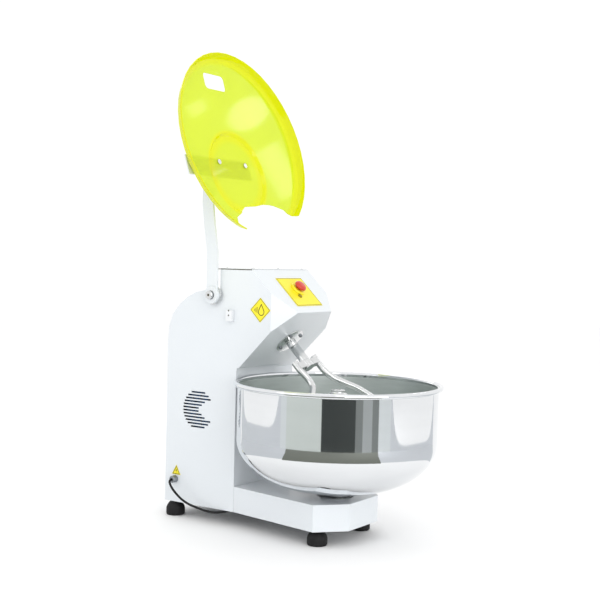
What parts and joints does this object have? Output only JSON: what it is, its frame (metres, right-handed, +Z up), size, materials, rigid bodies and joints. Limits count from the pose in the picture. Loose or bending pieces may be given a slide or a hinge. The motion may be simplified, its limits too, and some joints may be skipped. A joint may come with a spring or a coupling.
{
  "type": "commercial dough mixer",
  "caption": "Floor-standing fork dough mixer with a turning stainless bowl, an inclined fork, a slanted control head and a hinged clear yellow lid",
  "frame": {"origin": "floor level under the centre of the bounding box", "axes": "+Z up, +Y from the bowl side (front) to the column (back), +X to the right seen from the front"},
  "size_m": [0.6991, 0.9951, 1.6395],
  "materials": {
    "paint": "bluish white gloss powder coat",
    "dark_steel": "plain mill steel",
    "stainless": "fine satin stainless",
    "mirror_steel": "mirror polished stainless",
    "cast": "grey primer on casting",
    "motor_paint": "blue motor enamel",
    "bronze": "machined bronze",
    "rubber": "matt black rubber",
    "black_plastic": "matt black moulding",
    "white_plastic": "white moulding",
    "lid_plastic": "clear lemon-yellow sheet",
    "yellow": "yellow printed panel",
    "red": "red moulded cap",
    "olive": "olive moulded cap"
  },
  "bodies": {
    "frame": {"column_casing": "paint", "rear_cover": "paint", "top_cover": "paint", "base_deck": "paint", "chassis_plate": "dark_steel", "foot_front_near": "rubber", "foot_front_far": "rubber", "foot_rear_near": "rubber", "foot_rear_far": "rubber", "bowl_hub": "stainless", "bowl_bearing": "stainless", "fork_gearbox": "cast", "bowl_gearbox": "cast", "fork_output_bearing": "stainless", "bowl_output_bearing": "stainless", "fork_flange": "stainless", "motor_body": "motor_paint", "motor_cowl": "motor_paint", "motor_shelf": "dark_steel", "fork_belt": "rubber", "bowl_belt": "rubber", "drive_chain": "dark_steel", "switch_plate": "yellow", "stop_housing": "yellow", "drop_sticker": "yellow", "warning_sticker": "yellow", "lid_washer": "stainless", "lid_pivot_pin": "stainless", "lid_stop": "white_plastic", "cable_gland": "dark_steel", "cord_clip": "black_plastic", "power_cord": "rubber", "cord_coil": "rubber", "cord_tie": "white_plastic", "power_plug": "black_plastic"},
    "bowl_set": {"bowl": "mirror_steel", "bowl_post": "stainless", "bowl_spindle": "dark_steel", "bowl_sprocket": "dark_steel"},
    "fork_set": {"fork_shaft": "stainless", "fork_crossbar": "stainless", "fork_tine_left": "stainless", "fork_tine_right": "stainless", "fork_worm_wheel": "bronze"},
    "fork_worm_set": {"fork_worm": "dark_steel", "fork_pulley": "cast"},
    "bowl_worm_set": {"bowl_worm": "dark_steel", "bowl_pulley": "cast"},
    "bowl_output_set": {"bowl_output_shaft": "dark_steel", "bowl_worm_wheel": "bronze"},
    "motor_rotor": {"motor_shaft": "stainless", "motor_pulley": "cast", "motor_fan": "black_plastic"},
    "lid_set": {"lid": "lid_plastic", "lid_bracket": "paint", "lid_arm": "paint", "lid_bolt_1": "stainless", "lid_bolt_2": "stainless"},
    "stop_button_set": {"stop_button": "red"},
    "start_button_set": {"start_button": "olive"}
  },
  "joints": [
    {"name": "bowl_spin", "type": "hinge", "parent": "frame", "child": "bowl_set", "pos_m": [0, -0.148, 0.3], "axis": [0, 0, 1], "continuous": true},
    {"name": "fork_spin", "type": "hinge", "parent": "frame", "child": "fork_set", "pos_m": [0.05, 0.0875, 0.6375], "axis": [0, -0.7071, -0.7071], "continuous": true},
    {"name": "bowl_output_spin", "type": "hinge", "parent": "frame", "child": "bowl_output_set", "pos_m": [0.05, 0.322, 0.112], "axis": [0, 0, 1], "continuous": true},
    {"name": "bowl_worm_spin", "type": "hinge", "parent": "frame", "child": "bowl_worm_set", "pos_m": [0, 0.385, 0.167], "axis": [1, 0, 0], "continuous": true},
    {"name": "fork_worm_spin", "type": "hinge", "parent": "frame", "child": "fork_worm_set", "pos_m": [0, 0.20983, 0.67073], "axis": [1, 0, 0], "continuous": true},
    {"name": "motor_spin", "type": "hinge", "parent": "frame", "child": "motor_rotor", "pos_m": [0.05, 0.354, 0.387], "axis": [1, 0, 0], "continuous": true},
    {"name": "lid_hinge", "type": "hinge", "parent": "frame", "child": "lid_set", "pos_m": [-0.134, 0.288, 0.791], "axis": [1, 0, 0], "range_deg": [0, 107]},
    {"name": "stop_press", "type": "slide", "parent": "frame", "child": "stop_button_set", "axis": [0, 0.6922, -0.7217], "range_m": [0, 0.004], "stiffness_N_per_m": 900},
    {"name": "start_press", "type": "slide", "parent": "frame", "child": "start_button_set", "axis": [0, 0.6922, -0.7217], "range_m": [0, 0.003], "stiffness_N_per_m": 500}
  ],
  "couplings": [
    {"joint": "bowl_output_spin", "follows": "bowl_spin", "ratio": 2.2353},
    {"joint": "bowl_worm_spin", "follows": "bowl_spin", "ratio": 44.706},
    {"joint": "motor_spin", "follows": "bowl_spin", "ratio": 67.059},
    {"joint": "fork_worm_spin", "follows": "bowl_spin", "ratio": 41.267},
    {"joint": "fork_spin", "follows": "bowl_spin", "ratio": 2.0633}
  ]
}
